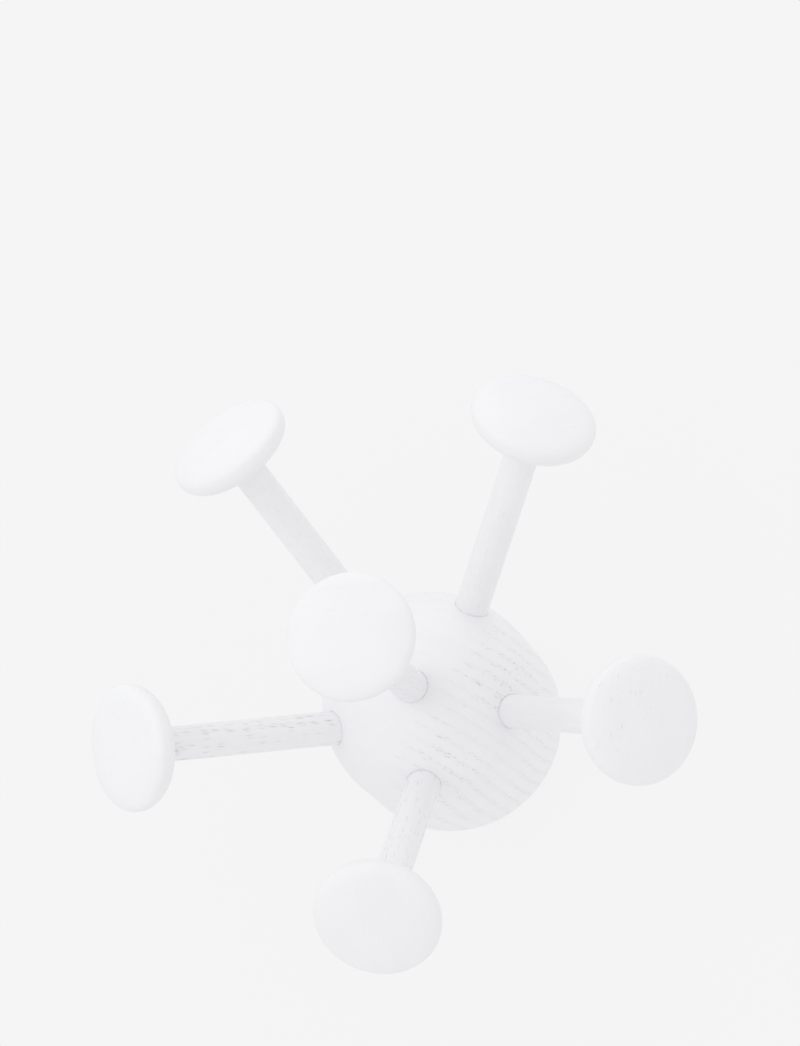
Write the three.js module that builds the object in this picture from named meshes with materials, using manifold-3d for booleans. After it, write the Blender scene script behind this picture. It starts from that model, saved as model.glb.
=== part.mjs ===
// Wall coat rack: a domed, turned hub that sits flat on a wall and holds six round pegs.
// Five pegs fan out in a ring, one stands out of the middle, and each ends in a pebble-shaped knob.
// Millimetres. The wall is the plane y = 0, the front faces -Y, and +Z is up.
// The origin is the centre of the hub's flat back.

import * as THREE from 'three';
import { mergeVertices } from 'three/addons/utils/BufferGeometryUtils.js';
import Module from 'manifold-3d';

const wasm = await Module();
wasm.setup();

// Driving dimensions.
const GAP = 0.3;                 // air between pieces that rest on or in each other
const FRONT = new THREE.Vector3(0, -1, 0);

const HUB_RADIUS = 59;
const HUB_SKIRT = 51.5;          // straight side, from the wall to the foot of the dome
const HUB_DOME = 54.5;           // height of the dome on top of the skirt
const HUB_FULLNESS = 2.55;       // power of the dome's superellipse: 2 is an ellipse, more is fuller
const HUB_EDGE = 1.5;            // bevel round the back edge

const PEG_RADIUS = 9;
const PEG_FOCUS = 32.5;          // the pegs point back to a spot this far in front of the wall
const PEG_START = 36;            // from that spot to the peg's hidden end in the hub
const PEG_BEVEL = 1;
const RING_TILT = 43.8;          // degrees between a ring peg and the hub's axis
const RING_FIRST = -18;          // degrees from +X towards +Z, which puts one of the five straight down
const RING_SWIRL = 3;            // how far each ring peg passes to one side of the hub's axis

// The ring pegs, anticlockwise as seen from the front. They are drilled by hand, so each is a degree
// or two off its even place round the hub (turn) and off the ring's tilt (lean).
const RING = [
  { name: 'right', turn: 0, lean: 0 },
  { name: 'upper_right', turn: 2, lean: 1.5 },
  { name: 'upper_left', turn: -1, lean: 0 },
  { name: 'left', turn: 0, lean: -0.5 },
  { name: 'bottom', turn: -1, lean: -1 },
];
const CENTRE_LEAN = 1.5;         // degrees by which the middle peg is off the hub's axis
const CENTRE_TOWARDS = 245;      // the way it leans, in degrees from +X towards +Z

const KNOB_DISTANCE = 202;       // from the focus to the plane of the knob's widest circle
const KNOB_RADIUS = 33;
const KNOB_FRONT = 8.5;          // height of the face in front of the widest circle
const KNOB_BACK = 13;            // depth of the back behind it
const KNOB_FULLNESS = 2.5;
const KNOB_SOCKET = 12;          // depth of the blind hole that takes the peg

const HANGER_OFFSET = 32;        // from the hub's axis to the middle of each hanger plate
const HANGER_WIDTH = 16;
const HANGER_HEIGHT = 44;
const HANGER_THICKNESS = 2;
const HANGER_SETBACK = 0.2;      // how far the plate lies below the hub's back
const KEYHOLE_MOUTH_RADIUS = 4.75;
const KEYHOLE_MOUTH_Z = -6;
const KEYHOLE_SLOT_RADIUS = 2.4;
const KEYHOLE_SLOT_Z = 6;        // centre of the slot's round top end
const POCKET_WIDTH = 12;         // room behind the keyhole for the head of a wall screw
const POCKET_LOW_Z = -12;
const POCKET_HIGH_Z = 11;
const POCKET_DEPTH = 9.5;        // from the hub's back to the pocket's floor

const SCREW_SPACING = 33;        // between the two screws of one plate
const SCREW_RADIUS = 1.75;
const SCREW_HEAD_RADIUS = 3.4;
const SCREW_LENGTH = 15;
const SCREW_POINT = 3;
const DRIVE_WIDTH = 0.9;         // cross recess in the head
const DRIVE_SPAN = 3.6;
const DRIVE_DEPTH = 1.1;

// Fineness of the round shapes.
const HUB_SIDES = 48;
const HUB_STEPS = 10;
const KNOB_SIDES = 32;
const KNOB_STEPS = 6;            // on each side of the widest circle
const PEG_SIDES = 24;
const SCREW_SIDES = 16;
const CORNER_STEPS = 4;

const WOOD = { color: 0xf3f3f5, roughness: 0.55, metalness: 0 };
const ZINC = { color: 0xb9bcc0, roughness: 0.35, metalness: 1 };

const group = new THREE.Group();

// Solids for cutting: a closed three.js geometry in, a three.js geometry out.
function toSolid(geometry) {
  const bare = geometry.clone();
  bare.deleteAttribute('normal');
  bare.deleteAttribute('uv');
  const merged = mergeVertices(bare, 1e-4);
  const mesh = new wasm.Mesh({
    numProp: 3,
    vertProperties: new Float32Array(merged.attributes.position.array),
    triVerts: new Uint32Array(merged.index.array),
  });
  return new wasm.Manifold(mesh);
}

function cut(geometry, cutters) {
  let solid = toSolid(geometry);
  for (const cutter of cutters) {
    solid = solid.subtract(toSolid(cutter));
  }
  const mesh = solid.getMesh();
  const result = new THREE.BufferGeometry();
  result.setAttribute('position', new THREE.BufferAttribute(mesh.vertProperties, 3));
  result.setIndex(new THREE.BufferAttribute(mesh.triVerts, 1));
  result.computeVertexNormals();
  return result;
}

function addMesh(parent, name, geometry, look) {
  const mesh = new THREE.Mesh(geometry, new THREE.MeshStandardMaterial(look));
  mesh.name = name;
  parent.add(mesh);
  return mesh;
}

function turned(profile, sides) {
  return new THREE.LatheGeometry(profile.map(([radius, y]) => new THREE.Vector2(radius, y)), sides);
}

// One quarter of a superellipse, from the widest circle (level 0) towards the axis.
// The height is negative for a quarter that goes down. It stops at the radius given as inner.
function quarter(radius, height, fullness, steps, inner = 0) {
  const last = Math.acos((inner / radius) ** (fullness / 2));
  const points = [];
  for (let step = 0; step <= steps; step += 1) {
    const angle = (last * step) / steps;
    const out = step === steps ? inner : radius * Math.cos(angle) ** (2 / fullness);
    points.push([out, height * Math.sin(angle) ** (2 / fullness)]);
  }
  return points;
}

// A turned frame for a peg: its local +Y runs along the peg, and its origin is on the peg's axis,
// abreast of the focus. The peg misses the hub's axis by the swirl. Angles are in degrees.
function armFrame(around, tilt, swirl) {
  const angle = THREE.MathUtils.degToRad(around);
  const outward = new THREE.Vector3(Math.cos(angle), 0, Math.sin(angle));
  const sideways = FRONT.clone().cross(outward);
  const direction = FRONT.clone().applyAxisAngle(sideways, THREE.MathUtils.degToRad(tilt));
  const frame = new THREE.Group();
  frame.position.copy(FRONT).multiplyScalar(PEG_FOCUS).addScaledVector(sideways, swirl);
  frame.quaternion.setFromUnitVectors(new THREE.Vector3(0, 1, 0), direction);
  frame.updateMatrix();
  return frame;
}

const arms = RING.map(({ name, turn, lean }, index) => {
  const around = RING_FIRST + (index * 360) / RING.length + turn;
  return { name, frame: armFrame(around, RING_TILT + lean, RING_SWIRL) };
});
arms.push({ name: 'centre', frame: armFrame(CENTRE_TOWARDS, CENTRE_LEAN, 0) });

// Pegs: plain dowels with bevelled ends, glued into the hub and into the knobs.
function pegShape() {
  const end = KNOB_DISTANCE - KNOB_BACK + KNOB_SOCKET - GAP;
  return turned([
    [0, PEG_START],
    [PEG_RADIUS - PEG_BEVEL, PEG_START],
    [PEG_RADIUS, PEG_START + PEG_BEVEL],
    [PEG_RADIUS, end - PEG_BEVEL],
    [PEG_RADIUS - PEG_BEVEL, end],
    [0, end],
  ], PEG_SIDES);
}

// Knobs: a low domed face and a deeper back that meet at the widest circle, with a blind hole.
function knobShape() {
  const hole = PEG_RADIUS + GAP;
  const floor = KNOB_DISTANCE - KNOB_BACK + KNOB_SOCKET;
  const lift = ([radius, y]) => [radius, y + KNOB_DISTANCE];
  const back = quarter(KNOB_RADIUS, -KNOB_BACK, KNOB_FULLNESS, KNOB_STEPS, hole).reverse().map(lift);
  const face = quarter(KNOB_RADIUS, KNOB_FRONT, KNOB_FULLNESS, KNOB_STEPS).slice(1).map(lift);
  return turned([[0, floor], [hole, floor], ...back, ...face], KNOB_SIDES);
}

for (const { name, frame } of arms) {
  addMesh(frame, `peg_${name}`, pegShape(), WOOD);
  addMesh(frame, `knob_${name}`, knobShape(), WOOD);
  group.add(frame);
}

// Hub: a straight skirt and a full dome, with a blind socket for each peg. At the back are a
// shallow seat for each hanger plate, a pocket behind its keyhole, and pilot holes for its screws.
function socketCutter(frame) {
  const reach = HUB_SKIRT + HUB_DOME;
  const start = PEG_START - GAP;
  const socket = new THREE.CylinderGeometry(PEG_RADIUS + GAP, PEG_RADIUS + GAP, reach, PEG_SIDES);
  socket.translate(0, start + reach / 2, 0);
  return socket.applyMatrix4(frame.matrix);
}

// An upright slab with round corners, width across X and height along Z, lying between two depths.
function slab(width, lowZ, highZ, corner, nearY, farY) {
  const half = width / 2;
  const outline = new THREE.Shape();
  outline.absarc(half - corner, highZ - corner, corner, 0, Math.PI / 2);
  outline.absarc(corner - half, highZ - corner, corner, Math.PI / 2, Math.PI);
  outline.absarc(corner - half, lowZ + corner, corner, Math.PI, 1.5 * Math.PI);
  outline.absarc(half - corner, lowZ + corner, corner, 1.5 * Math.PI, 2 * Math.PI);
  return upright(outline, nearY, farY);
}

// Extrudes an outline drawn in X and Z from one depth y to another further from the wall.
function upright(outline, nearY, farY) {
  const settings = { depth: nearY - farY, bevelEnabled: false, curveSegments: CORNER_STEPS };
  const geometry = new THREE.ExtrudeGeometry(outline, settings);
  geometry.rotateX(Math.PI / 2);
  return geometry.translate(0, nearY, 0);
}

const SEAT_CORNER = 3;
const POCKET_CORNER = 4;
const BEYOND = 1;                // cutters run this far past the face that they open

function seatCutters(side) {
  const seatFloor = -(HANGER_SETBACK + HANGER_THICKNESS + GAP);
  const seatLow = -(HANGER_HEIGHT / 2 + GAP);
  const seat = slab(HANGER_WIDTH + 2 * GAP, seatLow, -seatLow, SEAT_CORNER, BEYOND, seatFloor);
  const pocket = slab(POCKET_WIDTH, POCKET_LOW_Z, POCKET_HIGH_Z, POCKET_CORNER, BEYOND, -POCKET_DEPTH);
  const pilots = [-1, 1].map((end) => {
    const length = SCREW_LENGTH + GAP;
    const pilot = new THREE.CylinderGeometry(SCREW_RADIUS + GAP, SCREW_RADIUS + GAP, length, SCREW_SIDES);
    return pilot.translate(0, -HANGER_SETBACK - length / 2, (end * SCREW_SPACING) / 2);
  });
  return [seat, pocket, ...pilots].map((shape) => shape.translate(side * HANGER_OFFSET, 0, 0));
}

function hubShape() {
  const dome = quarter(HUB_RADIUS, HUB_DOME, HUB_FULLNESS, HUB_STEPS);
  const profile = [
    [0, 0],
    [HUB_RADIUS - HUB_EDGE, 0],
    [HUB_RADIUS, HUB_EDGE],
    ...dome.map(([radius, y]) => [radius, y + HUB_SKIRT]),
  ];
  const body = turned(profile, HUB_SIDES);
  body.rotateX(Math.PI);
  const sockets = arms.map(({ frame }) => socketCutter(frame));
  return cut(body, [...sockets, ...seatCutters(-1), ...seatCutters(1)]);
}

addMesh(group, 'hub', hubShape(), WOOD);

// Hanger plates: a keyhole, round below and a slot above, between two countersunk screw holes.
function countersink(clearance) {
  const radius = SCREW_RADIUS + clearance;
  const headRadius = SCREW_HEAD_RADIUS + clearance;
  return turned([
    [0, -HANGER_THICKNESS - BEYOND],
    [radius, -HANGER_THICKNESS - BEYOND],
    [radius, radius - headRadius],
    [headRadius, 0],
    [headRadius, BEYOND],
    [0, BEYOND],
  ], SCREW_SIDES);
}

function keyhole() {
  const opening = Math.asin(KEYHOLE_SLOT_RADIUS / KEYHOLE_MOUTH_RADIUS);
  const outline = new THREE.Shape();
  outline.absarc(0, KEYHOLE_SLOT_Z, KEYHOLE_SLOT_RADIUS, 0, Math.PI);
  outline.absarc(0, KEYHOLE_MOUTH_Z, KEYHOLE_MOUTH_RADIUS, Math.PI / 2 + opening, 2.5 * Math.PI - opening);
  return upright(outline, BEYOND, -HANGER_THICKNESS - BEYOND);
}

function hangerShape() {
  const half = HANGER_HEIGHT / 2;
  const plate = slab(HANGER_WIDTH, -half, half, SEAT_CORNER - GAP, 0, -HANGER_THICKNESS);
  const holes = [-1, 1].map((end) => countersink(GAP).translate(0, 0, (end * SCREW_SPACING) / 2));
  return cut(plate, [keyhole(), ...holes]);
}

// Screws: countersunk, with a cross recess in the head and a plain pointed shank.
function screwShape() {
  const body = turned([
    [0, -SCREW_LENGTH],
    [SCREW_RADIUS, SCREW_POINT - SCREW_LENGTH],
    [SCREW_RADIUS, SCREW_RADIUS - SCREW_HEAD_RADIUS],
    [SCREW_HEAD_RADIUS, 0],
    [0, 0],
  ], SCREW_SIDES);
  const across = new THREE.BoxGeometry(DRIVE_SPAN, 2 * DRIVE_DEPTH, DRIVE_WIDTH);
  const upDown = new THREE.BoxGeometry(DRIVE_WIDTH, 2 * DRIVE_DEPTH, DRIVE_SPAN);
  return cut(body, [across, upDown]);
}

for (const [sideName, side] of [['left', -1], ['right', 1]]) {
  const hanger = new THREE.Group();
  hanger.position.set(side * HANGER_OFFSET, -HANGER_SETBACK, 0);
  addMesh(hanger, `hanger_plate_${sideName}`, hangerShape(), ZINC);
  for (const [endName, end] of [['lower', -1], ['upper', 1]]) {
    const screw = addMesh(hanger, `hanger_screw_${sideName}_${endName}`, screwShape(), ZINC);
    screw.position.z = (end * SCREW_SPACING) / 2;
  }
  group.add(hanger);
}

export default group;
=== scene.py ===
# %% [markdown]
# # A wall coat rack turned from ash
#
# The rack is a domed hub that sits flat on a wall, with six round pegs, each ending in a knob like a
# flat pebble. All of it is ash, stained with a thin white pigment that leaves the open pores of the
# wood showing as fine grey dashes. Two keyhole plates in its back hang it on two wall screws.
#
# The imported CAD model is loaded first, as the fixed frame. It settles where every piece is, so each
# position and size below is measured on its nodes and not typed in again.

import math

import bpy
import numpy as np
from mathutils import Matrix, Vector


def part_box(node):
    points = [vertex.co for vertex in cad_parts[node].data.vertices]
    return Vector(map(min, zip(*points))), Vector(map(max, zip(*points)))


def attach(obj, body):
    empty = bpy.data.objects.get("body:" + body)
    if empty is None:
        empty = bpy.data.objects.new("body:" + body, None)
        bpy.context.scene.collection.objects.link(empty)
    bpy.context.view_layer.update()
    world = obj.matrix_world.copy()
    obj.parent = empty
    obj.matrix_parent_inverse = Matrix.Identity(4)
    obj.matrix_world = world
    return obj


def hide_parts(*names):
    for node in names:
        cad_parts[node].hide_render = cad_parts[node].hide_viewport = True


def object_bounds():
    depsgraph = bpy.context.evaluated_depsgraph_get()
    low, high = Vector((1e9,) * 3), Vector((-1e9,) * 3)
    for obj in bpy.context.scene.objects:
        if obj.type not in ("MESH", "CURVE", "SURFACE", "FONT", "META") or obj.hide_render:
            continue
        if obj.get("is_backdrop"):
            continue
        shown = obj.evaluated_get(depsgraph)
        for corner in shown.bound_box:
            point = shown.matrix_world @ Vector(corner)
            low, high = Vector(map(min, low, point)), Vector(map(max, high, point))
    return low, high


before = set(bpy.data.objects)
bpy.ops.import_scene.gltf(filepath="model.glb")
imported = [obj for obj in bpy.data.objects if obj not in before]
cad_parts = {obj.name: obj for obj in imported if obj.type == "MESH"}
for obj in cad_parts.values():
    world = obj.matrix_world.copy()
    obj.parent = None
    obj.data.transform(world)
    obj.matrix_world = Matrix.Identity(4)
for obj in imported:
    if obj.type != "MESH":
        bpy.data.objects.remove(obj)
cad_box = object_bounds()
MM = 0.001  # the frame is in metres, and sizes here are named in millimetres
CM3 = 1e-6

for corner in cad_box:
    print("CAD box corner, mm:", [round(value / MM, 1) for value in corner])

# %% [markdown]
# ## The camera
#
# The camera stands low and to the right, and looks up at the rack from nearly three metres with a
# long lens, so that the six pegs spread with hardly any perspective. It aims well above the rack,
# which leaves the upper part of the view empty.

# %% The camera
CAMERA_PLACE = (564.43, -2569.99, -564.11)  # millimetres
CAMERA_TILT = 104.426  # degrees from straight down
CAMERA_ROLL = -0.715
CAMERA_TURN = 12.890
LENS = 170.3  # millimetres, on a 36 mm sensor
FAR = 100.0  # metres

camera = bpy.data.objects.new("camera", bpy.data.cameras.new("camera"))
camera.location = [value * MM for value in CAMERA_PLACE]
camera.rotation_euler = [math.radians(a) for a in (CAMERA_TILT, CAMERA_ROLL, CAMERA_TURN)]
camera.data.lens = LENS
camera.data.clip_end = FAR
bpy.context.scene.collection.objects.link(camera)
bpy.context.scene.camera = camera
print("camera distance, m:", round(camera.location.length, 3))

# %% [markdown]
# ## Colours and nodes
#
# Colours are written as the hex values that a paint chart gives, which are sRGB. Shaders work in
# linear light, so one function converts them. A second function adds a node, with its settings and
# whatever goes into its inputs, and is used for every node in the file.

# %% A hex colour in linear light
def linear(code):
    """
    Each channel is over 255. Under 0.04045 it is divided by 12.92, and above that it is
    ((c + 0.055) / 1.055) ** 2.4. The colour is opaque.
    """
    channels = [int(code[i:i + 2], 16) / 255 for i in (1, 3, 5)]
    light = [c / 12.92 if c < 0.04045 else ((c + 0.055) / 1.055) ** 2.4 for c in channels]
    return (*light, 1.0)


BACKGROUND = "#F5F5F5"
print("background in linear light:", [round(c, 3) for c in linear(BACKGROUND)[:3]])


# %% A node with its settings and inputs
def add(tree, kind, inputs=None, **settings):
    """
    Adds one shader node. Each input is given by name or number, as a value, a socket to link, or a
    node, which links its first output in use.
    """
    made = tree.nodes.new("ShaderNode" + kind)
    for key, value in settings.items():
        setattr(made, key, value)
    for key, value in (inputs or {}).items():
        if isinstance(value, bpy.types.Node):
            value = next(out for out in value.outputs if out.enabled)
        if isinstance(value, bpy.types.NodeSocket):
            tree.links.new(value, made.inputs[key])
        else:
            made.inputs[key].default_value = value
    return made


def new_material(name):
    """An empty node material and its node tree."""
    material = bpy.data.materials.new(name)
    material.use_nodes = True
    material.node_tree.nodes.clear()
    return material, material.node_tree


# %% [markdown]
# ## The studio
#
# A white object on a white ground needs light from all round, or its shadows turn grey. The world is
# an even pale grey that lights every side equally and is also the background. Two large, weak lamps,
# one in front on the left and one overhead, add the little modelling there is: faces that look up
# and left melt into the background, and the lower right sides stay a shade darker.

# %% Surrounding light
world = bpy.data.worlds.new("studio")
world.use_nodes = True
world.node_tree.nodes.clear()
surround = add(world.node_tree, "Background", {"Color": linear(BACKGROUND), "Strength": 1.0})
add(world.node_tree, "OutputWorld", {"Surface": surround})
bpy.context.scene.world = world
bpy.context.scene.view_settings.view_transform = "Standard"  # so that a colour is shown as given

# %% The lamps
LAMP_DISTANCE = 2.4  # metres
LAMP_SIZE = 1.5
LAMPS = {  # the way from the rack to the lamp, and its power in watts
    "front_lamp": ((-0.45, -0.85, 0.10), 5.8),
    "top_lamp": ((0.0, -0.2, 1.0), 4.0),
}

for name, (towards, power) in LAMPS.items():
    lamp = bpy.data.objects.new(name, bpy.data.lights.new(name, "AREA"))
    lamp.data.size = LAMP_SIZE
    lamp.data.energy = power
    lamp.location = np.array(towards) / np.linalg.norm(towards) * LAMP_DISTANCE
    lamp.rotation_euler = lamp.location.to_track_quat("Z", "Y").to_euler()
    bpy.context.scene.collection.objects.link(lamp)
    print(name, "at, m:", [round(value, 2) for value in lamp.location])

# %% [markdown]
# ## Surfaces from numpy
#
# Every wooden part of the rack was turned on a lathe, and the cutters that bored and milled it are
# round or slab-shaped. Both are one kind of surface: a stack of closed rings, each the same number
# of points round, with the first and last ring closed by a point in their middle. Worked out as one
# array it is exact, smooth and quick, and its faces come out facing outwards.

# %% A skin over a stack of rings
def skin(name, rings, low, high):
    """
    rings holds rows of points, row by row from low to high and anticlockwise seen from the high end.
    Each quad joins two neighbours of a ring to the same two of the next one; a fan of triangles
    closes each end. Volume is a sixth of the summed triple products of the triangles.
    """
    rows, sides = rings.shape[:2]
    index = np.arange(rows * sides).reshape(rows, sides)
    beside = np.roll(index, -1, axis=1)
    quads = np.stack([index[:-1], beside[:-1], beside[1:], index[1:]], -1).reshape(-1, 4)
    first, last = np.full(sides, rows * sides), np.full(sides, rows * sides + 1)
    fans = np.concatenate([
        np.stack([beside[0], index[0], first], -1),
        np.stack([index[-1], beside[-1], last], -1),
    ])
    points = np.concatenate([rings.reshape(-1, 3), [low, high]])
    mesh = bpy.data.meshes.new(name)
    mesh.from_pydata(points.tolist(), [], quads.tolist() + fans.tolist())
    mesh.shade_smooth()
    made = bpy.data.objects.new(name, mesh)
    bpy.context.scene.collection.objects.link(made)

    corners = points[np.concatenate([quads[:, :3], quads[:, [0, 2, 3]], fans])]
    volume = np.einsum("ij,ij->i", corners[:, 0], np.cross(corners[:, 1], corners[:, 2])).sum() / 6
    print(f"{name}: {len(points)} points, {volume / CM3:.1f} cm3")
    return made


def across(axis):
    """Two unit vectors square to a unit axis, which make a right-handed frame with it."""
    helper = np.eye(3)[np.argmin(np.abs(axis))]
    one = np.cross(helper, axis)
    one /= np.linalg.norm(one)
    return one, np.cross(axis, one)


def turned(name, foot, axis, profile, sides):
    """
    A lathe surface. The profile's rows are (radius, height), from the low end of the axis to the
    high end, both on the axis. A point is the foot, plus its height along the axis, plus its radius
    along a direction that goes once round.
    """
    one, two = across(axis)
    turn = np.linspace(0, 2 * np.pi, sides, endpoint=False)[:, None]
    outward = np.cos(turn) * one + np.sin(turn) * two
    stem = foot + profile[:, 1:] * axis
    rings = stem[1:-1, None, :] + profile[1:-1, :1, None] * outward
    return skin(name, rings, stem[0], stem[-1])


def quarter(radius, height, fullness, steps, inner=0.0):
    """
    A quarter of a superellipse from its widest circle to the given inner radius, as (radius, height)
    rows: radius times cosine to the power 2 / fullness, height times sine to the same power.
    """
    angle = np.linspace(0, np.arccos((inner / radius) ** (fullness / 2)), steps + 1)
    out = radius * np.cos(angle) ** (2 / fullness)
    out[-1] = inner
    return np.stack([out, height * np.sin(angle) ** (2 / fullness)], 1)


# %% [markdown]
# ## Where the pegs are
#
# A peg in the CAD model is a plain dowel, so its own points tell its axis: the longest direction of
# the cloud of points. Its ends are the lowest and highest points along that axis and its radius is
# the distance of the furthest one from it. A knob sits on the same axis, and its points give the
# plane of its widest circle, the top of its face and the floor of its blind hole.

# %% Measure the pegs and knobs
PLACES = ("right", "upper_right", "upper_left", "left", "bottom", "centre")


def points_of(mesh):
    """The vertices of a mesh as an array of (x, y, z) rows, in metres."""
    flat = np.empty(len(mesh.vertices) * 3)
    mesh.vertices.foreach_get("co", flat)
    return flat.reshape(-1, 3)


def measure_arm(place):
    """The longest axis comes from the singular vectors of the peg's points less their middle."""
    peg = points_of(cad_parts["peg_" + place].data)
    foot = (peg.min(0) + peg.max(0)) / 2
    axis = np.linalg.svd(peg - foot, full_matrices=False)[2][0]
    axis *= -np.sign(axis[1])
    height = (peg - foot) @ axis
    reach = np.linalg.norm(peg - foot - height[:, None] * axis, axis=1)
    arm = {"axis": axis, "foot": foot, "radius": reach.max()}
    arm["low"], arm["high"] = height.min(), height.max()

    knob = points_of(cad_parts["knob_" + place].data) - foot
    height = knob @ axis
    reach = np.linalg.norm(knob - height[:, None] * axis, axis=1)
    arm["knob_radius"] = reach.max()
    arm["widest"] = height[np.argmax(reach)]
    arm["face"] = height.max()
    arm["hole_floor"] = height[reach < arm["radius"] / 2].min()
    arm["rim"] = height.min()
    return arm


arms = {place: measure_arm(place) for place in PLACES}
for place, arm in arms.items():
    tilt = math.degrees(math.acos(-arm["axis"][1]))
    print(f"{place}: {tilt:.1f} degrees off the wall's normal, radius {arm['radius'] / MM:.2f} mm,",
          f"knob {arm['knob_radius'] / MM:.2f} mm")

# %% [markdown]
# ## Pegs
#
# The pegs are 18 mm dowels, dead straight, with a small bevel on the two hidden ends that are glued
# into the hub and the knob. A dowel is a lathe surface with a very short profile. It is made finer
# than the CAD's, so that its edge against the light is clean.

# %% Turn the pegs
PEG_SIDES = 96
PEG_ROWS = 12
PEG_BEVEL = 1 * MM


def peg_profile(arm):
    """Straight between the bevels, with evenly spaced rows."""
    radius, low, high = arm["radius"], arm["low"], arm["high"]
    straight = np.linspace(low + PEG_BEVEL, high - PEG_BEVEL, PEG_ROWS)
    body = np.stack([np.full(PEG_ROWS, radius), straight], 1)
    inner = radius - PEG_BEVEL
    return np.array([[0, low], [inner, low], *body, [inner, high], [0, high]])


pegs = {
    place: turned(f"{place}_dowel", arm["foot"], arm["axis"], peg_profile(arm), PEG_SIDES)
    for place, arm in arms.items()
}

# %% [markdown]
# ## Knobs
#
# Each knob is a flat pebble, 66 mm across: a low domed face and a deeper back that meet in a soft
# rim. Half a superellipse gives that section, nearly flat in the middle and rounding quickly at the
# edge, and its fullness sets how square the shoulder is. The back has the blind hole for the peg.

# %% Turn the knobs
KNOB_SIDES = 144
KNOB_STEPS = 44
KNOB_FULLNESS = 2.5
HOLE_ROWS = 6
GAP = 0.3 * MM  # air round a peg in its hole
TRIM = 0.08 * MM  # a finer circle bulges past the CAD's facets; this keeps it inside them


def knob_profile(arm):
    """Hole floor, hole wall, then the back's quarter reversed and the face's quarter."""
    radius, widest = arm["knob_radius"] - TRIM, arm["widest"]
    hole = arm["radius"] + GAP
    last = np.arccos((hole / radius) ** (KNOB_FULLNESS / 2))
    depth = (widest - arm["rim"]) / np.sin(last) ** (2 / KNOB_FULLNESS)
    back = quarter(radius, -depth, KNOB_FULLNESS, KNOB_STEPS, hole)[::-1] + [0, widest]
    face = quarter(radius, arm["face"] - TRIM - widest, KNOB_FULLNESS, KNOB_STEPS)[1:] + [0, widest]
    floor = arm["hole_floor"]
    wall = np.stack([np.full(HOLE_ROWS, hole), np.linspace(floor, arm["rim"], HOLE_ROWS)], 1)
    return np.concatenate([[[0, floor]], wall[:-1], back, face])


knobs = {
    place: turned(f"{place}_pebble", arm["foot"], arm["axis"], knob_profile(arm), KNOB_SIDES)
    for place, arm in arms.items()
}

# %% [markdown]
# ## Cutting
#
# Holes, seats and recesses are cut with the Boolean modifier, which is the same operation as on the
# real bench: a tool of the right shape is put where it works and taken away from the piece. The
# modifier is applied straight away, because the patterns below need the finished points.

# %% Cut and ease a piece
SHARP = math.radians(35)  # a fold between two faces that is steeper than this stays crisp


def apply_modifiers(piece):
    """Replaces the piece's mesh by the one that its modifiers make."""
    graph = bpy.context.evaluated_depsgraph_get()
    piece.data = bpy.data.meshes.new_from_object(piece.evaluated_get(graph))
    piece.modifiers.clear()
    piece.data.set_sharp_from_angle(angle=SHARP)


def cut(piece, tools):
    """Takes all the tools away from the piece at once and throws them away."""
    tray = bpy.data.collections.new(piece.name + "_tools")
    for tool in tools:
        tray.objects.link(tool)
    bite = piece.modifiers.new("cut", "BOOLEAN")
    bite.solver = "EXACT"
    bite.operand_type = "COLLECTION"
    bite.collection = tray
    apply_modifiers(piece)
    for tool in tools:
        bpy.data.objects.remove(tool)
    bpy.data.collections.remove(tray)
    print(f"{piece.name}: {len(piece.data.vertices)} points after {len(tools)} cuts")


def prism(name, outline, back, front, middle):
    """An outline of (x, z) rows, anticlockwise from the front, carried from one depth y to another."""
    flat = np.insert(outline, 1, 0.0, axis=1)
    rings = np.stack([flat + [0, back, 0], flat + [0, front, 0]])
    low, high = (np.array([middle[0], y, middle[1]]) for y in (back, front))
    return skin(name, rings, low, high)


def arc(centre, radius, start, end, steps):
    """Points at a radius from a centre; the angle goes evenly from start to end, in degrees."""
    angle = np.radians(np.linspace(start, end, steps + 1))[:, None]
    return np.array(centre) + radius * np.concatenate([np.cos(angle), np.sin(angle)], 1)


CORNER_STEPS = 8


def rounded_box(x, low, high, width, corner):
    """Four quarter arcs, one in each corner of a rectangle; straight sides join them."""
    right, left = x + width / 2 - corner, x - width / 2 + corner
    top, bottom = high - corner, low + corner
    corners = ((right, top), (left, top), (left, bottom), (right, bottom))
    return np.concatenate([
        arc(centre, corner, 90 * i, 90 * i + 90, CORNER_STEPS)
        for i, centre in enumerate(corners)
    ])


# %% [markdown]
# ## Hub
#
# The hub is turned too: a straight side that rises from the wall and a full dome, a superellipse
# again. Round tools bore the six blind sockets, each along its peg, and a hair's breadth of air is
# left round the peg, which draws the thin dark ring where it goes in. In the flat back, slab-shaped
# tools mill a seat for each hanger plate and a pocket behind its keyhole, and drill the screw holes.

# %% Turn the hub
HUB_SIDES = 240
HUB_STEPS = 72
SKIRT_ROWS = 16
HUB_FULLNESS = 2.55
HUB_SKIRT = 51.5 * MM
HUB_DOME = 54.5 * MM
HUB_EDGE = 1.5 * MM  # eased back edge
FRONT = np.array([0.0, -1.0, 0.0])
ORIGIN = np.zeros(3)

hub_radius = np.hypot(*points_of(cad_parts["hub"].data)[:, [0, 2]].T).max()
skirt = np.linspace(HUB_EDGE, HUB_SKIRT, SKIRT_ROWS)[:-1]
hub_profile = np.concatenate([
    [[0, 0], [hub_radius - HUB_EDGE, 0]],
    np.stack([np.full(len(skirt), hub_radius), skirt], 1),
    quarter(hub_radius, HUB_DOME, HUB_FULLNESS, HUB_STEPS) + [0, HUB_SKIRT],
])
hub = turned("domed_hub", ORIGIN, FRONT, hub_profile, HUB_SIDES)
print("hub radius, mm:", round(hub_radius / MM, 2))

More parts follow.
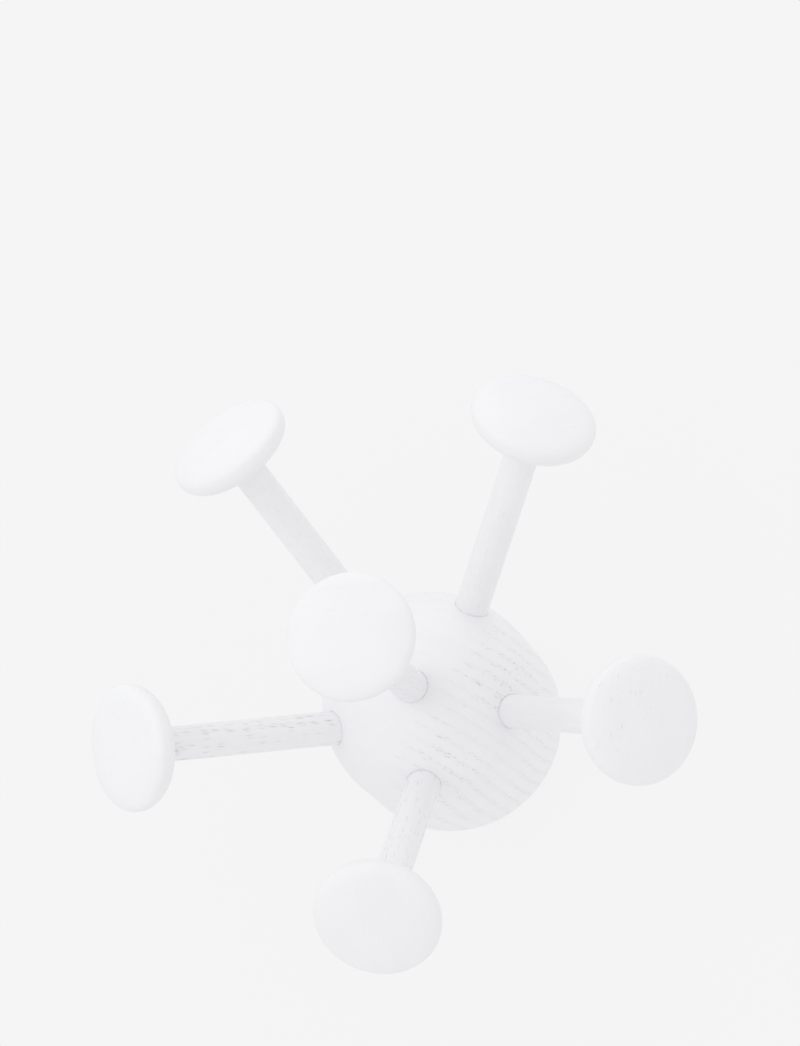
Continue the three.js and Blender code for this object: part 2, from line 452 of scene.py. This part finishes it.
# %% Bore the sockets and mill the back
BORE_SIDES = 96
BORE_REACH = 130 * MM
BEYOND = 1 * MM  # how far a tool runs past the face that it opens
SEAT_CORNER = 3 * MM
POCKET_WIDTH = 12 * MM
POCKET_SPAN = (-12 * MM, 11 * MM)  # from low to high
POCKET_CORNER = 4 * MM
POCKET_DEPTH = 9.5 * MM
PILOT_SIDES = 48
SCREW_RADIUS = 1.75 * MM
SOCKET_GAP = 0.07 * MM  # the glued joint is tighter than the CAD's air gap
SOCKET_SHIFT = 0.05 * MM  # the pegs sit a hair off the middle of their holes
SIDES = ("left", "right")
ENDS = ("lower", "upper")


def bore(name, foot, axis, radius, low, high, sides):
    """A plain round tool between two heights along an axis."""
    profile = np.array([[0, low], [radius, low], [radius, high], [0, high]])
    return turned(name, foot, axis, profile, sides)


def box_of(node):
    """The lowest and highest corner of a CAD node as two arrays."""
    return [np.array(corner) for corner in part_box(node)]


def back_tools(side):
    """The seat round one hanger plate, the pocket behind its keyhole and its two screw holes."""
    low, high = box_of(f"hanger_plate_{side}")
    x = (low[0] + high[0]) / 2
    width = high[0] - low[0] + 2 * GAP
    seat = rounded_box(x, low[2] - GAP, high[2] + GAP, width, SEAT_CORNER)
    pocket = rounded_box(x, *POCKET_SPAN, POCKET_WIDTH, POCKET_CORNER)
    tools = [
        prism("seat", seat, BEYOND, low[1] - GAP, (x, 0)),
        prism("pocket", pocket, 2 * BEYOND, -POCKET_DEPTH, (x, 0)),
    ]
    for end in ENDS:
        low, high = box_of(f"hanger_screw_{side}_{end}")
        foot = np.array([x, 0, (low[2] + high[2]) / 2])
        radius, floor = SCREW_RADIUS + GAP, GAP - low[1]
        tools.append(bore("pilot", foot, FRONT, radius, -high[1], floor, PILOT_SIDES))
    return tools


def socket_tool(arm):
    """A bore along the peg, moved a hair towards the hub's axis, square to the peg."""
    axis = arm["axis"]
    inward = FRONT - (FRONT @ axis) * axis
    inward /= max(np.linalg.norm(inward), MM)
    foot = arm["foot"] + SOCKET_SHIFT * inward
    radius, low = arm["radius"] + SOCKET_GAP, arm["low"] - GAP
    return bore("socket", foot, axis, radius, low, BORE_REACH, BORE_SIDES)


sockets = [socket_tool(arm) for arm in arms.values()]
cut(hub, [*sockets, *back_tools("left"), *back_tools("right")])

# %% [markdown]
# ## Hanger plates and screws
#
# Two pressed steel plates let the rack drop onto two screws in the wall: a screw head goes in at the
# round mouth and slides up into the slot. Each is held by two countersunk screws. They only show
# from behind, but they carry the weight, so they get their real edges: a plate is a slab with three
# holes cut in it and every edge eased by a bevel, and a screw is turned, with a cross cut in its head.

# %% Make the plates
MOUTH_RADIUS = 4.75 * MM
MOUTH_Z = -6 * MM
SLOT_RADIUS = 2.4 * MM
SLOT_Z = 6 * MM  # the middle of the slot's round top
SCREW_HEAD_RADIUS = 3.4 * MM
PLATE_EASE = 0.25 * MM
EASE_SEGMENTS = 2
SINK_REACH = 4 * MM  # how far the countersink's neck runs into the plate and past it
HOLE_SIDES = 48
ARC_STEPS = 24


def make_plate(side):
    """The keyhole is the slot's top half circle and the mouth's arc up to where the slot opens."""
    low, high = box_of(f"hanger_plate_{side}")
    x = (low[0] + high[0]) / 2
    outline = rounded_box(x, low[2], high[2], high[0] - low[0], SEAT_CORNER - GAP)
    plate = prism(f"{side}_keyhole_plate", outline, high[1], low[1], (x, 0))
    opening = math.degrees(math.asin(SLOT_RADIUS / MOUTH_RADIUS))
    keyhole = np.concatenate([
        arc((x, SLOT_Z), SLOT_RADIUS, 0, 180, ARC_STEPS),
        arc((x, MOUTH_Z), MOUTH_RADIUS, 90 + opening, 450 - opening, 2 * ARC_STEPS),
    ])
    tools = [prism("keyhole", keyhole, BEYOND, low[1] - BEYOND, (x, MOUTH_Z))]
    for end in ENDS:
        screw_low, screw_high = box_of(f"hanger_screw_{side}_{end}")
        foot = np.array([x, high[1], (screw_low[2] + screw_high[2]) / 2])
        neck, head = SCREW_RADIUS + GAP, SCREW_HEAD_RADIUS + GAP
        sink = np.array([
            [0, -BEYOND], [head, -BEYOND], [head, 0],
            [neck, head - neck], [neck, SINK_REACH], [0, SINK_REACH],
        ])
        tools.append(turned("countersink", foot, FRONT, sink, HOLE_SIDES))
    cut(plate, tools)
    ease = plate.modifiers.new("ease", "BEVEL")
    ease.width = PLATE_EASE
    ease.segments = EASE_SEGMENTS
    ease.limit_method = "ANGLE"
    ease.angle_limit = SHARP
    apply_modifiers(plate)
    return plate


plates = {side: make_plate(side) for side in SIDES}

# %% Turn the screws
SCREW_POINT = 3 * MM
HEAD_EASE = 0.15 * MM
DRIVE = ((3.6 * MM, 0.9 * MM), (0.9 * MM, 3.6 * MM))  # the two bars of the cross, across and up
DRIVE_DEPTH = 1.1 * MM
DRIVE_CORNER = 0.2 * MM


def make_screw(side, end):
    """From the point up: cone, shank, the head's underside at 45 degrees and its eased flat top."""
    low, high = box_of(f"hanger_screw_{side}_{end}")
    foot = (low + high) / 2
    foot[1] = high[1]
    length = high[1] - low[1]
    profile = np.array([
        [0, -length],
        [SCREW_RADIUS, SCREW_POINT - length],
        [SCREW_RADIUS, SCREW_RADIUS - SCREW_HEAD_RADIUS],
        [SCREW_HEAD_RADIUS, -HEAD_EASE],
        [SCREW_HEAD_RADIUS - HEAD_EASE, 0],
        [0, 0],
    ])
    screw = turned(f"{side}_{end}_screw", foot, -FRONT, profile, HOLE_SIDES)
    bars = [
        rounded_box(foot[0], foot[2] - tall / 2, foot[2] + tall / 2, wide, DRIVE_CORNER)
        for wide, tall in DRIVE
    ]
    middle = (foot[0], foot[2])
    cut(screw, [prism("bar", bar, BEYOND, high[1] - DRIVE_DEPTH, middle) for bar in bars])
    return screw


screws = {(side, end): make_screw(side, end) for side in SIDES for end in ENDS}

# %% [markdown]
# ## The grain of the wood
#
# Ash has growth rings round a pith, and in the spring wood of each ring a band of large open pores,
# which show as short dashes along the grain. What a piece shows depends on how it lay in the log.
# So each piece gets its place in the log: at every point an attribute holds, in millimetres, the
# distance along the grain and the two distances square to it from the pith. A second attribute holds
# how well the pigment filled that piece's pores; on the hub it is painted shade as well, leaving the
# pores and ring bands grey on the lower right, away from the lamps, and filled white on the lit upper
# left. The materials read both, so every piece shows its own cut: open dashes on one peg, hardly any
# on the next, and long bands across the hub.

# %% Where each piece lay in the log
def lay_grain(piece, along, towards_pith, pith_distance, middle, filling):
    """
    The grain axis is made exact, the pith's direction is made square to it, and the third axis is
    square to both. A point's coordinates are its offsets from a middle on the pith along the three.
    The filling goes from none at 0 to all at 1, and is one number or one for each point.
    """
    along = along / np.linalg.norm(along)
    inward = towards_pith - (towards_pith @ along) * along
    inward /= np.linalg.norm(inward)
    axes = np.stack([along, inward, np.cross(along, inward)])
    places = (points_of(piece.data) - middle) @ axes.T / MM - [0, pith_distance, 0]
    grain = piece.data.attributes.new("grain", "FLOAT_VECTOR", "POINT")
    grain.data.foreach_set("vector", places.astype(np.float32).ravel())
    filled = piece.data.attributes.new("filled", "FLOAT", "POINT")
    filled.data.foreach_set("value", np.broadcast_to(filling, len(places)).astype(np.float32))
    return places


HUB_GRAIN = -28  # degrees from level, in the plane of the wall
HUB_PITH = np.array([0.47, -0.11, 0.88])
HUB_PITH_DISTANCE = 520  # millimetres
SHADED_SIDE = np.array([0.85, 0.0, -0.53])  # the side away from the lamps, where the pores are left open as painted shade
SHADE_SPAN = (0.1, 0.45)  # where that painted shade begins and is full, in hub radii that way
THICKEST = 0.9


def hub_filling_and_shade():
    """
    The filling falls from its thickest to none along one direction, as 1 - u * u * (3 - 2 * u), with
    u going from 0 to 1 between the two distances. This is painted shade: the pores and ring bands
    turn grey towards the lower right, away from the lamps, and stay filled white on the lit upper left.
    """
    reach = points_of(hub.data) @ SHADED_SIDE / hub_radius
    u = np.clip((reach - SHADE_SPAN[0]) / (SHADE_SPAN[1] - SHADE_SPAN[0]), 0, 1)
    return THICKEST * (1 - u * u * (3 - 2 * u))


turn = math.radians(HUB_GRAIN)
hub_along = np.array([math.cos(turn), 0, math.sin(turn)])
# The hub's filling is painted shade: it opens the pores on the side away from the lamps.
filling = hub_filling_and_shade()
places = lay_grain(hub, hub_along, HUB_PITH, HUB_PITH_DISTANCE, ORIGIN, filling)
print("the hub spans along the grain, mm:", np.round([places[:, 0].min(), places[:, 0].max()], 1))
print("mean filling of the hub:", round(filling.mean(), 2))

# For each arm: how far the peg's and the knob's cut is turned round the peg's axis, in degrees; how
# far along the log both were cut, in millimetres, so that no two show the same dashes; and how well
# the pores of the peg and of the knob are filled.
CUTS = {
    "right": (20, 85, 0, 0.85, 0.1),
    "upper_right": (75, 30, 310, 0.75, 0.6),
    "upper_left": (130, 60, 620, 0.75, 0.75),
    "left": (160, 140, 930, 0.0, 0.4),
    "bottom": (215, 85, 1240, 0.4, 0.6),
    "centre": (280, 8, 1550, 0.7, 0.7),
}
PEG_PITH_DISTANCE = 45
KNOB_PITH_DISTANCE = 90
KNOB_PITH_SLOPE = 0.1  # how much the way to a knob's pith leans back towards the wall


def around(axis, degrees):
    """The direction square to an axis at an angle round it, counted from the level direction."""
    level = np.cross([0, 0, 1], axis)
    level /= np.linalg.norm(level)
    angle = math.radians(degrees)
    return math.cos(angle) * level + math.sin(angle) * np.cross(axis, level)


for place, (peg_turn, knob_turn, shift, peg_filling, knob_filling) in CUTS.items():
    arm = arms[place]
    axis = arm["axis"]
    middle = arm["foot"] - shift * MM * axis
    lay_grain(pegs[place], axis, around(axis, peg_turn), PEG_PITH_DISTANCE, middle, peg_filling)
    along = around(axis, knob_turn)
    middle = arm["foot"] + arm["widest"] * axis - shift * MM * along
    inward = around(axis, knob_turn + 90) - KNOB_PITH_SLOPE * axis
    lay_grain(knobs[place], along, inward, KNOB_PITH_DISTANCE, middle, knob_filling)
print("grain laid in", len(pegs) + len(knobs) + 1, "pieces")

# %% [markdown]
# ## White-pigmented open-pore ash
#
# The real finish is a thin white stain under matt lacquer. It hides the colour of the wood but lies
# in it, not on it: the pores stay open, so they catch shade and dust and read as fine grey dashes,
# thick in the spring wood of each ring and sparse between. The eye gets a soft even white, faint
# bands, broken dashes along the grain, and a low satin sheen that dies in the pores.
#
# The patterns come one by one below: rings, pores, the patches where pigment fills them, clouds and
# fibres. All read the place in the log, so they run through a piece as they do in wood.

# %% A pattern's scale
def per(length, width, depth=None):
    """The scale that makes one unit of a pattern this many millimetres along each grain axis."""
    return 1 / length, 1 / width, 1 / (depth or width)


# %% Growth rings
WANDER = 2.5  # how far a ring wanders to either side, in millimetres
WANDER_CELL = (110, 30)  # length and width of a bend, in millimetres
RISE = 0.08  # the share of a ring over which the pores begin
FALL = (0.2, 0.55)  # and over which they end


def spring_wood(tree, grain, ring_width):
    """
    How far a point lies in spring wood, from 0 to 1. The distance from the pith, bent by a slow
    noise, is counted in rings. In each ring the value rises at its start and falls further on.
    """
    place = add(tree, "VectorMath", {0: grain, 1: per(*WANDER_CELL)}, operation="MULTIPLY")
    drift = add(tree, "TexNoise", {"Vector": place, "Scale": 1.0, "Detail": 2.0})
    centred = add(tree, "Math", {0: drift, 1: 0.5}, operation="SUBTRACT")
    square = add(tree, "VectorMath", {0: grain, 1: (0, 1, 1)}, operation="MULTIPLY")
    distance = add(tree, "VectorMath", {0: square}, operation="LENGTH")
    bent = add(tree, "Math", {0: centred, 1: 2 * WANDER, 2: distance}, operation="MULTIPLY_ADD")
    count = add(tree, "Math", {0: bent, 1: ring_width}, operation="DIVIDE")
    phase = add(tree, "Math", {0: count}, operation="FRACT")
    rise = add(tree, "MapRange", {
        "Value": phase, "From Max": RISE,
    }, interpolation_type="SMOOTHSTEP")
    fall = add(tree, "MapRange", {
        "Value": phase, "From Min": FALL[0], "From Max": FALL[1], "To Min": 1.0, "To Max": 0.0,
    }, interpolation_type="SMOOTHSTEP")
    return add(tree, "Math", {0: rise, 1: fall}, operation="MULTIPLY")


# %% Pores
PORE_EDGE = (0.16, 0.36)  # full inside the first distance from its cell's middle, gone past the second
PALEST_PORE = 0.3  # beside the darkest one


def single_pores(tree, grain, spring, cell, share, stray):
    """
    How far a point lies in a pore, from 0 to 1. Long cells fill the wood. One random value of a cell
    says whether it holds a pore, more often in spring wood, and another says how dark that is.
    """
    place = add(tree, "VectorMath", {0: grain, 1: per(*cell)}, operation="MULTIPLY")
    cells = add(tree, "TexVoronoi", {"Vector": place, "Scale": 1.0})
    draws = add(tree, "SeparateColor", {"Color": cells.outputs["Color"]})
    odds = add(tree, "Math", {0: spring, 1: share, 2: stray}, operation="MULTIPLY_ADD")
    held = add(tree, "Math", {0: draws.outputs["Red"], 1: odds}, operation="LESS_THAN")
    shape = add(tree, "MapRange", {
        "Value": cells, "From Min": PORE_EDGE[0], "From Max": PORE_EDGE[1],
        "To Min": 1.0, "To Max": 0.0,
    }, interpolation_type="SMOOTHSTEP")
    dark = add(tree, "MapRange", {"Value": draws.outputs["Green"], "To Min": PALEST_PORE})
    there = add(tree, "Math", {0: shape, 1: held}, operation="MULTIPLY")
    return add(tree, "Math", {0: there, 1: dark}, operation="MULTIPLY")


# %% Where the pigment fills them
PATCH_CELL = (75, 30)  # millimetres
PATCH_EDGE = (0.37, 0.55)


def left_open(tree, grain, thinness_and_shade, contrast, closed, seed):
    """
    How open the pores are left. Broad patches go from closed to open, scaled by how thin the pigment
    lies on the piece; on the hub that scale is also painted shade, opening the pores away from the
    lamps.
    """
    place = add(tree, "VectorMath", {0: grain, 1: per(*PATCH_CELL)}, operation="MULTIPLY")
    patch = add(tree, "TexNoise", {
        "Vector": place, "W": seed, "Scale": 1.0, "Detail": 1.0,
    }, noise_dimensions="4D")
    unfilled = add(tree, "MapRange", {
        "Value": patch, "From Min": PATCH_EDGE[0], "From Max": PATCH_EDGE[1],
        "To Min": closed * contrast, "To Max": contrast,
    }, interpolation_type="SMOOTHSTEP")
    return add(tree, "Math", {0: unfilled, 1: thinness_and_shade}, operation="MULTIPLY")


# %% Clouds and fibres
CLOUD_CELL = (34, 15)  # millimetres
CLOUD_EDGE = (0.36, 0.64)
CLOUD_TONE = 0.2
FIBRE_CELL = (30, 0.9)
FIBRE_EDGE = (0.3, 0.7)


def cloud_and_fibre(tree, grain):
    """Two smooth noises: one in clouds, up to their tone, and one in fine streaks, up to 1."""
    place = add(tree, "VectorMath", {0: grain, 1: per(*CLOUD_CELL)}, operation="MULTIPLY")
    cloud = add(tree, "TexNoise", {"Vector": place, "Scale": 1.0, "Detail": 3.0})
    uneven = add(tree, "MapRange", {
        "Value": cloud, "From Min": CLOUD_EDGE[0], "From Max": CLOUD_EDGE[1], "To Max": CLOUD_TONE,
    }, interpolation_type="SMOOTHSTEP")
    place = add(tree, "VectorMath", {0: grain, 1: per(*FIBRE_CELL)}, operation="MULTIPLY")
    fibre = add(tree, "TexNoise", {"Vector": place, "Scale": 1.0, "Detail": 3.0})
    streak = add(tree, "MapRange", {
        "Value": fibre, "From Min": FIBRE_EDGE[0], "From Max": FIBRE_EDGE[1],
    }, interpolation_type="SMOOTHSTEP")
    return uneven, streak


# %% The ash material
PIGMENT = "#F3F3F5"
SUMMER_WOOD = "#ECECEF"
PORE = "#8E9096"
LACQUER_IOR = 1.5
SHEEN = 0.35  # the lacquer is rubbed matt
ROUGHNESS = (0.5, 0.8)  # on the lacquer and down in a pore
RELIEF = 0.12 * MM  # how deep a pore lies
FIBRE_RELIEF = 0.1  # the fibres' relief beside a pore's


def white_ash(name, ring_width, cell, share, stray, contrast, ring_tone, fibre_tone, closed, seed):
    """
    The wood of one kind of piece: the width of its rings; the length, width and depth of the cell of
    one pore; the share of cells that hold a pore in the spring wood and outside it; how dark the
    pores are, how dim the spring wood and the fibres are; how open the pores stay in the filled
    patches; and the seed of those patches.
    """
    material, tree = new_material(name)
    grain = add(tree, "Attribute", attribute_name="grain").outputs["Vector"]
    filled = add(tree, "Attribute", attribute_name="filled").outputs["Fac"]
    # On the hub this is painted shade as well as thin pigment: pores and ring bands darken on the side
    # away from the lamps.
    thinness_and_shade = add(tree, "Math", {0: 1.0, 1: filled}, operation="SUBTRACT")
    spring = spring_wood(tree, grain, ring_width)
    pores = single_pores(tree, grain, spring, cell, share, stray)
    opening = left_open(tree, grain, thinness_and_shade, contrast, closed, seed)
    amount = add(tree, "Math", {0: pores, 1: opening}, operation="MULTIPLY")
    uneven, streak = cloud_and_fibre(tree, grain)

    tinge = add(tree, "Math", {0: streak, 1: fibre_tone, 2: uneven}, operation="MULTIPLY_ADD")
    band = add(tree, "Math", {0: spring, 1: thinness_and_shade}, operation="MULTIPLY")
    dim = add(tree, "Math", {0: band, 1: ring_tone, 2: tinge}, operation="MULTIPLY_ADD")
    body = add(tree, "Mix", {
        "Factor": dim, 6: linear(PIGMENT), 7: linear(SUMMER_WOOD),
    }, data_type="RGBA")
    colour = add(tree, "Mix", {"Factor": amount, 6: body, 7: linear(PORE)}, data_type="RGBA")
    rough = add(tree, "MapRange", {
        "Value": amount, "To Min": ROUGHNESS[0], "To Max": ROUGHNESS[1],
    })
    ripple = add(tree, "Math", {0: streak, 1: FIBRE_RELIEF}, operation="MULTIPLY")
    height = add(tree, "Math", {0: ripple, 1: amount}, operation="SUBTRACT")
    relief = add(tree, "Bump", {"Height": height, "Distance": RELIEF, "Strength": 1.0})
    shader = add(tree, "BsdfPrincipled", {
        "Base Color": colour, "Roughness": rough, "IOR": LACQUER_IOR,
        "Specular IOR Level": SHEEN, "Normal": relief,
    })
    add(tree, "OutputMaterial", {"Surface": shader})
    return material


# %% One ash for each kind of piece
# A pore is about half as long and wide as its cell. Real ones are 0.3 mm wide at most; on the hub
# they are drawn about that wide and on the pegs finer, so that they show without crowding.
hub_ash = white_ash(
    "ash_white_pigmented_hub", ring_width=6.6, cell=(10, 0.44, 2.0), share=0.95, stray=0.03,
    contrast=0.6, ring_tone=0.22, fibre_tone=0.15, closed=0.25, seed=22.1,
)
peg_ash = white_ash(
    "ash_white_pigmented_peg", ring_width=3.0, cell=(9, 0.3, 0.3), share=0.6, stray=0.12,
    contrast=0.9, ring_tone=0.1, fibre_tone=0.25, closed=0.8, seed=2.0,
)
knob_ash = white_ash(
    "ash_white_pigmented_knob", ring_width=5.5, cell=(6, 0.4, 1.5), share=0.12, stray=0.04,
    contrast=0.45, ring_tone=0.03, fibre_tone=0.12, closed=0.0, seed=4.0,
)
print("ash nodes:", len(hub_ash.node_tree.nodes))

# %% [markdown]
# ## Zinc-plated steel
#
# The plates are cold-rolled steel with a bright zinc coat: a cool grey metal, not a mirror, with
# faint rolling lines along the plate and slight clouds where the coat took differently.

# %% Zinc plate
ZINC = "#C3C6CA"
ZINC_DULL = "#A2A6AC"
ZINC_ROUGHNESS = (0.28, 0.5)
CLOUD_SIZE = 5.0 * MM
LINE = (0.25 * MM, CLOUD_SIZE, 20 * MM)  # a rolling line's width, depth and length; real ones are finer
LINE_DEPTH = 0.01 * MM
LINE_STRENGTH = 0.6

zinc, tree = new_material("steel_zinc_plated")
place = add(tree, "TexCoord").outputs["Object"]
lines = add(tree, "Mapping", {"Vector": place, "Scale": [1 / size for size in LINE]})
rolled = add(tree, "TexNoise", {"Vector": lines, "Scale": 1.0, "Detail": 2.0})
clouds = add(tree, "TexNoise", {"Vector": place, "Scale": 1 / CLOUD_SIZE, "Detail": 3.0})
tone = add(tree, "Mix", {"Factor": clouds, 6: linear(ZINC), 7: linear(ZINC_DULL)}, data_type="RGBA")
rough = add(tree, "MapRange", {
    "Value": clouds, "To Min": ZINC_ROUGHNESS[0], "To Max": ZINC_ROUGHNESS[1],
})
relief = add(tree, "Bump", {"Height": rolled, "Distance": LINE_DEPTH, "Strength": LINE_STRENGTH})
shader = add(tree, "BsdfPrincipled", {
    "Base Color": tone, "Metallic": 1.0, "Roughness": rough, "Normal": relief,
})
add(tree, "OutputMaterial", {"Surface": shader})
print("zinc nodes:", len(tree.nodes))

# %% [markdown]
# ## Putting it together
#
# Each piece stands for its CAD node, takes its material and rides on the rack's one body.

# %% Stand the pieces in for the CAD nodes
def finish_piece(piece, node, material):
    """Gives the piece its material, hides the CAD node that it replaces and hangs the piece on the
    rack's body.
    """
    piece.data.materials.clear()
    piece.data.materials.append(material)
    piece.data.set_sharp_from_angle(angle=SHARP)
    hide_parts(node)
    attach(piece, "root")


finish_piece(hub, "hub", hub_ash)
for place in PLACES:
    finish_piece(pegs[place], f"peg_{place}", peg_ash)
    finish_piece(knobs[place], f"knob_{place}", knob_ash)
for side in SIDES:
    finish_piece(plates[side], f"hanger_plate_{side}", zinc)
    for end in ENDS:
        finish_piece(screws[side, end], f"hanger_screw_{side}_{end}", zinc)

# %% [markdown]
# ## The wall
#
# The rack hangs on a plain white wall, which takes the place of a floor. On such a bright wall the
# shadow is only a breath of grey close round the hub. So the wall is a thin veil over the bright
# background: a ring of plane from the hub outwards, only faintly opaque and fading away further out,
# that catches that shade. It is seen by the camera only, and casts no light or shade back.

# %% The wall's veil
VEIL_SIDES = 128
VEIL_ROWS = 24
VEIL_RADIUS = 500 * MM
VEIL_STRENGTH = 0.14
VEIL_Y = 0.5 * MM
VEIL_TUCK = 3 * MM  # how far it runs in under the hub's eased edge
WALL_PAINT = "#F2F2F2"

turn = np.linspace(0, 2 * np.pi, VEIL_SIDES, endpoint=False)
radii = np.geomspace(hub_radius - VEIL_TUCK, VEIL_RADIUS, VEIL_ROWS)[:, None]
depth = np.full((VEIL_ROWS, VEIL_SIDES), VEIL_Y)
grid = np.stack([radii * np.cos(turn), depth, radii * np.sin(turn)], -1)
index = np.arange(VEIL_ROWS * VEIL_SIDES).reshape(VEIL_ROWS, VEIL_SIDES)
beside = np.roll(index, -1, axis=1)
quads = np.stack([index[:-1], index[1:], beside[1:], beside[:-1]], -1).reshape(-1, 4)
veil_mesh = bpy.data.meshes.new("wall")
veil_mesh.from_pydata(grid.reshape(-1, 3).tolist(), [], quads.tolist())
wall = bpy.data.objects.new("wall", veil_mesh)
bpy.context.scene.collection.objects.link(wall)
for kind in ("diffuse", "glossy", "transmission", "volume_scatter", "shadow"):
    setattr(wall, "visible_" + kind, False)

veil, tree = new_material("wall_paint")
far = add(tree, "VectorMath", {0: add(tree, "TexCoord").outputs["Object"]}, operation="LENGTH")
fade = add(tree, "MapRange", {
    "Value": far, "From Min": hub_radius, "From Max": VEIL_RADIUS,
    "To Min": VEIL_STRENGTH, "To Max": 0.0,
}, interpolation_type="SMOOTHSTEP")
clear = add(tree, "BsdfTransparent")
paint = add(tree, "BsdfDiffuse", {"Color": linear(WALL_PAINT)})
mixed = add(tree, "MixShader", {"Fac": fade, 1: clear, 2: paint})
add(tree, "OutputMaterial", {"Surface": mixed})
wall.data.materials.append(veil)
wall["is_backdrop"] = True
print("wall ring from", round(hub_radius / MM, 1), "to", VEIL_RADIUS / MM, "mm")

# %% Sizes
visual_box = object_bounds()
for corner in visual_box:
    print("visual box corner, mm:", [round(value / MM, 1) for value in corner])
